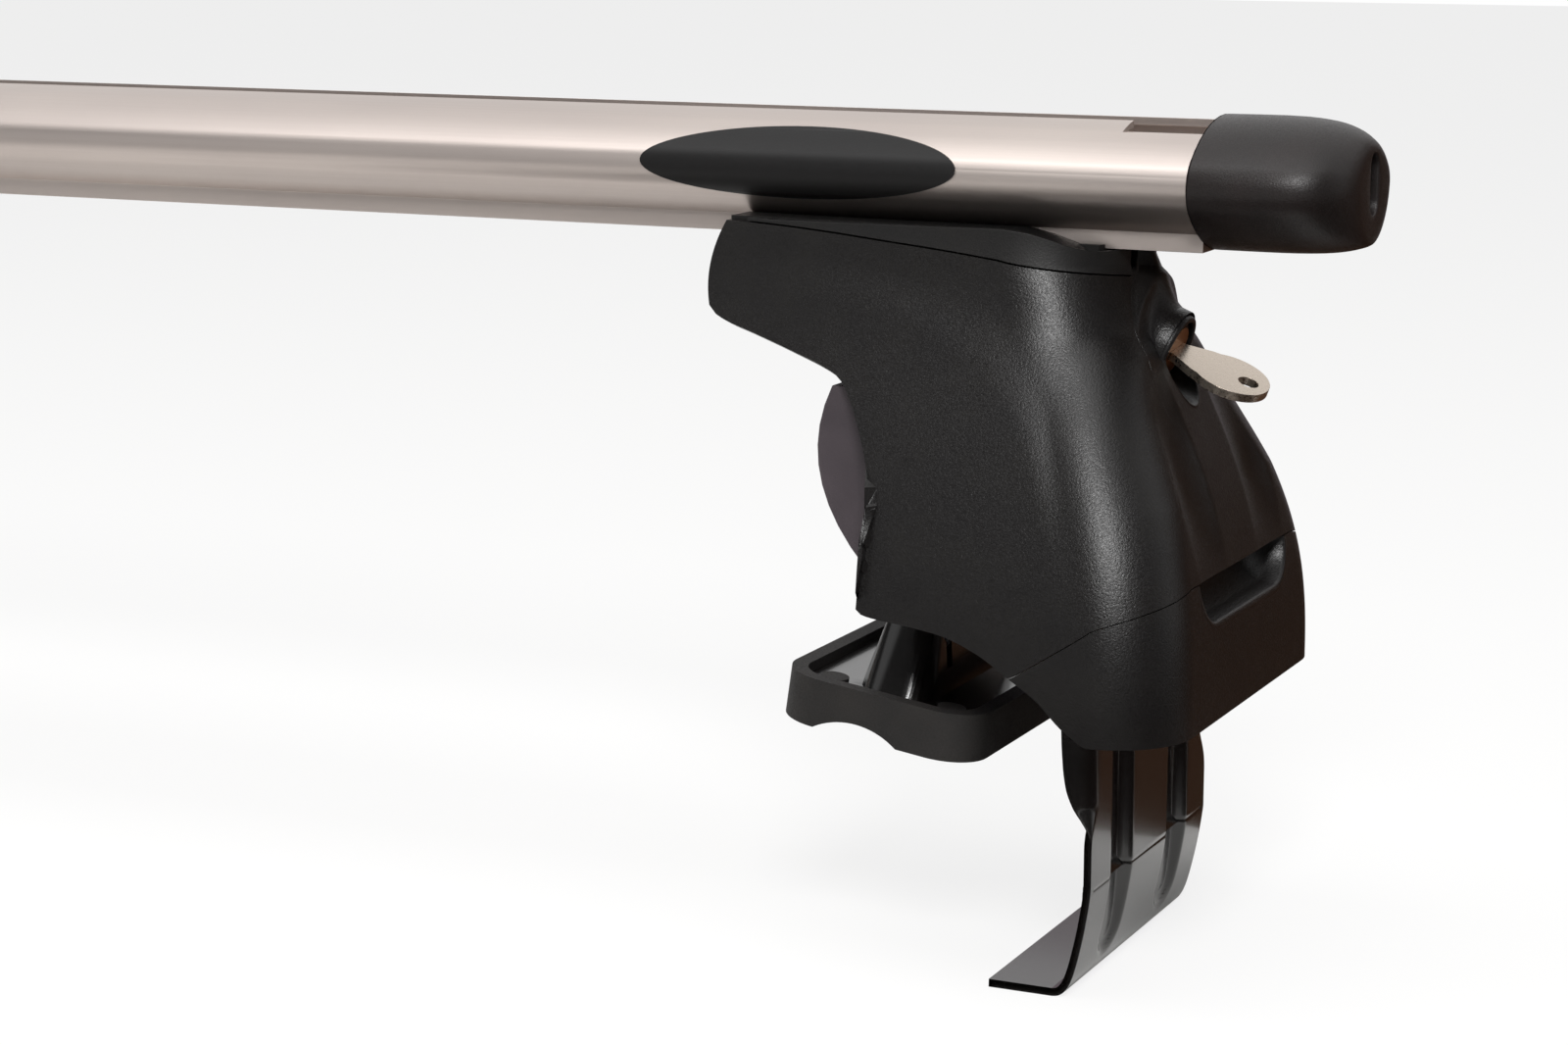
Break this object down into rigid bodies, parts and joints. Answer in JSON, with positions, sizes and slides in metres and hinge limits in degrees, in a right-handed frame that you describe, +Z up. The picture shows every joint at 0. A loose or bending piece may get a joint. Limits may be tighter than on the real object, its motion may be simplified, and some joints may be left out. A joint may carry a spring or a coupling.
{
  "type": "roof rack crossbar",
  "caption": "Aluminium roof rack crossbar with slots above and below, black end caps and lockable clamp feet with rubber pads and door-frame hooks.",
  "frame": {"origin": "middle of the bar's length and depth, level with the undersides of the two hooks' lips", "axes": "+X along the bar towards the foot with the badge and the key, +Y towards the back of the bar's section (the badge faces -Y), +Z up"},
  "size_m": [1.195, 0.129, 0.2131],
  "materials": {
    "aluminium_profile": "anodised, satin",
    "cap_plastic": "fine grain",
    "badge_black": "smooth",
    "cradle_plastic": "fine grain",
    "plated_steel": "zinc plated",
    "grey_plastic": "smooth, satin",
    "cover_plastic": "spark-eroded grain",
    "lock_case": "dark, cast",
    "lock_brass": "satin",
    "key_nickel": "nickel plated",
    "hook_coating": "gloss black",
    "pad_rubber": "moulded, matt"
  },
  "bodies": {
    "bar": {"bar_extrusion": "aluminium_profile", "blank_badge": "badge_black"},
    "right_cap_body": {"right_end_cap": "cap_plastic"},
    "right_foot": {"right_cradle": "cradle_plastic", "right_tower": "plated_steel", "right_lock_catches": "plated_steel", "right_tee_bolt": "plated_steel", "right_tee_nut": "plated_steel", "right_housing": "grey_plastic", "right_hook_pin": "plated_steel", "right_barrel_nut": "plated_steel", "right_pad_pin": "plated_steel"},
    "right_shell": {"right_cover": "cover_plastic", "right_skirt": "cover_plastic", "right_lock_barrel": "lock_case"},
    "right_lock": {"right_lock_plug": "lock_brass", "right_lock_cam": "plated_steel"},
    "right_hook_body": {"right_hook": "hook_coating"},
    "right_washer_body": {"right_washer": "plated_steel"},
    "right_screw_body": {"right_clamp_screw": "plated_steel"},
    "right_pad_body": {"right_pad_plate": "hook_coating", "right_rubber_pad": "pad_rubber"},
    "right_key_body": {"right_key": "key_nickel"},
    "left_cap_body": {"left_end_cap": "cap_plastic"},
    "left_foot": {"left_cradle": "cradle_plastic", "left_tower": "plated_steel", "left_lock_catches": "plated_steel", "left_tee_bolt": "plated_steel", "left_tee_nut": "plated_steel", "left_housing": "grey_plastic", "left_hook_pin": "plated_steel", "left_barrel_nut": "plated_steel", "left_pad_pin": "plated_steel"},
    "left_shell": {"left_cover": "cover_plastic", "left_skirt": "cover_plastic", "left_lock_barrel": "lock_case"},
    "left_lock": {"left_lock_plug": "lock_brass", "left_lock_cam": "plated_steel"},
    "left_hook_body": {"left_hook": "hook_coating"},
    "left_washer_body": {"left_washer": "plated_steel"},
    "left_screw_body": {"left_clamp_screw": "plated_steel"},
    "left_pad_body": {"left_pad_plate": "hook_coating", "left_rubber_pad": "pad_rubber"}
  },
  "joints": [
    {"name": "right_cap_pull", "type": "slide", "parent": "bar", "child": "right_cap_body", "axis": [1, 0, 0], "range_m": [0, 0.03]},
    {"name": "right_foot_slide", "type": "slide", "parent": "bar", "child": "right_foot", "axis": [-1, 0, 0], "range_m": [0, 0.15]},
    {"name": "right_cover_slide", "type": "slide", "parent": "right_foot", "child": "right_shell", "axis": [1, 0, 0], "range_m": [0, 0.12]},
    {"name": "right_lock_turn", "type": "hinge", "parent": "right_shell", "child": "right_lock", "pos_m": [0.5489, 0, 0.1545], "axis": [0.9272, 0, -0.3746], "range_deg": [0, 90]},
    {"name": "right_key_pull", "type": "slide", "parent": "right_lock", "child": "right_key_body", "axis": [0.9272, 0, -0.3746], "range_m": [0, 0.03]},
    {"name": "right_pad_tilt", "type": "hinge", "parent": "right_foot", "child": "right_pad_body", "pos_m": [0.491, 0, 0.0847], "axis": [0, 1, 0], "range_deg": [-12, 12]},
    {"name": "right_hook_swing", "type": "hinge", "parent": "right_foot", "child": "right_hook_body", "pos_m": [0.5385, 0, 0.1357], "axis": [0, -1, 0], "range_deg": [0, 8]},
    {"name": "right_washer_slide", "type": "slide", "parent": "right_foot", "child": "right_washer_body", "axis": [1, 0, 0], "range_m": [0, 0.0045]},
    {"name": "right_screw_turn", "type": "hinge", "parent": "right_washer_body", "child": "right_screw_body", "pos_m": [0.546, 0, 0.1147], "axis": [1, 0, 0], "range_deg": [0, 1250]},
    {"name": "left_cap_pull", "type": "slide", "parent": "bar", "child": "left_cap_body", "axis": [-1, 0, 0], "range_m": [0, 0.03]},
    {"name": "left_foot_slide", "type": "slide", "parent": "bar", "child": "left_foot", "axis": [1, 0, 0], "range_m": [0, 0.15]},
    {"name": "left_cover_slide", "type": "slide", "parent": "left_foot", "child": "left_shell", "axis": [-1, 0, 0], "range_m": [0, 0.12]},
    {"name": "left_lock_turn", "type": "hinge", "parent": "left_shell", "child": "left_lock", "pos_m": [-0.5489, 0, 0.1545], "axis": [-0.9272, 0, -0.3746], "range_deg": [0, 90]},
    {"name": "left_pad_tilt", "type": "hinge", "parent": "left_foot", "child": "left_pad_body", "pos_m": [-0.491, 0, 0.0847], "axis": [0, -1, 0], "range_deg": [-12, 12]},
    {"name": "left_hook_swing", "type": "hinge", "parent": "left_foot", "child": "left_hook_body", "pos_m": [-0.5385, 0, 0.1357], "axis": [0, 1, 0], "range_deg": [0, 8]},
    {"name": "left_washer_slide", "type": "slide", "parent": "left_foot", "child": "left_washer_body", "axis": [-1, 0, 0], "range_m": [0, 0.0045]},
    {"name": "left_screw_turn", "type": "hinge", "parent": "left_washer_body", "child": "left_screw_body", "pos_m": [-0.546, 0, 0.1147], "axis": [-1, 0, 0], "range_deg": [0, 1250]}
  ],
  "couplings": [
    {"joint": "right_washer_slide", "follows": "right_hook_swing", "m_per_rad": 0.031},
    {"joint": "right_screw_turn", "follows": "right_hook_swing", "ratio": 155.82},
    {"joint": "left_washer_slide", "follows": "left_hook_swing", "m_per_rad": 0.031},
    {"joint": "left_screw_turn", "follows": "left_hook_swing", "ratio": 155.82}
  ]
}
